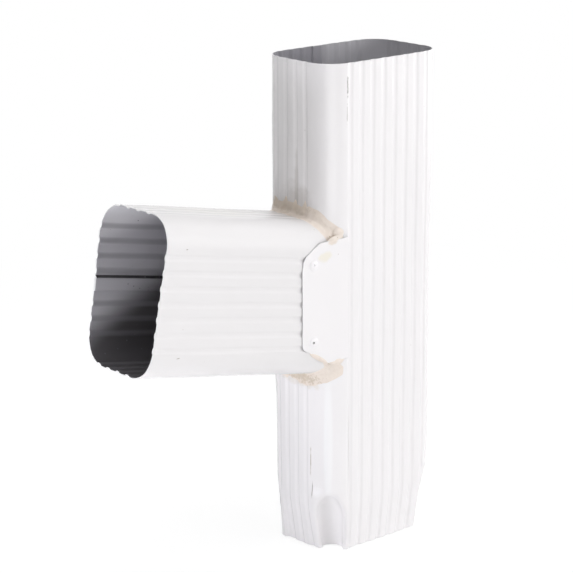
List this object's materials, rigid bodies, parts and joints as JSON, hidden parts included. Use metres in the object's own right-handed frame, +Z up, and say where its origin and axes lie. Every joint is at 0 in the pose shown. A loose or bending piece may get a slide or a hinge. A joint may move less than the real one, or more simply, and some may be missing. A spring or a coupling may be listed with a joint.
{
  "type": "downpipe branch",
  "caption": "Corrugated rectangular downpipe length with a sloping side inlet, riveted on folded-out flaps and sealed with sealant, with a crimped lower end.",
  "frame": {"origin": "middle of the crimped lower end, on the upright tube's axis", "axes": "+Z up the upright tube, the branch leaves towards -X and rises away from the tube, the wide walls face -Y and +Y"},
  "size_m": [0.2607, 0.074, 0.352],
  "materials": {
    "main_enamel": "white baked enamel on aluminium sheet, grey back coat inside",
    "branch_enamel": "white baked enamel on aluminium sheet, grey back coat inside",
    "sealant": "tan sealant, smeared and mottled",
    "rivet_paint": "white painted aluminium rivet"
  },
  "bodies": {
    "root": {"main_tube": "main_enamel", "branch_tube": "branch_enamel", "upper_sealant": "sealant", "lower_sealant": "sealant", "front_upper_rivet": "rivet_paint", "front_lower_rivet": "rivet_paint", "back_upper_rivet": "rivet_paint", "back_lower_rivet": "rivet_paint"}
  },
  "joints": []
}
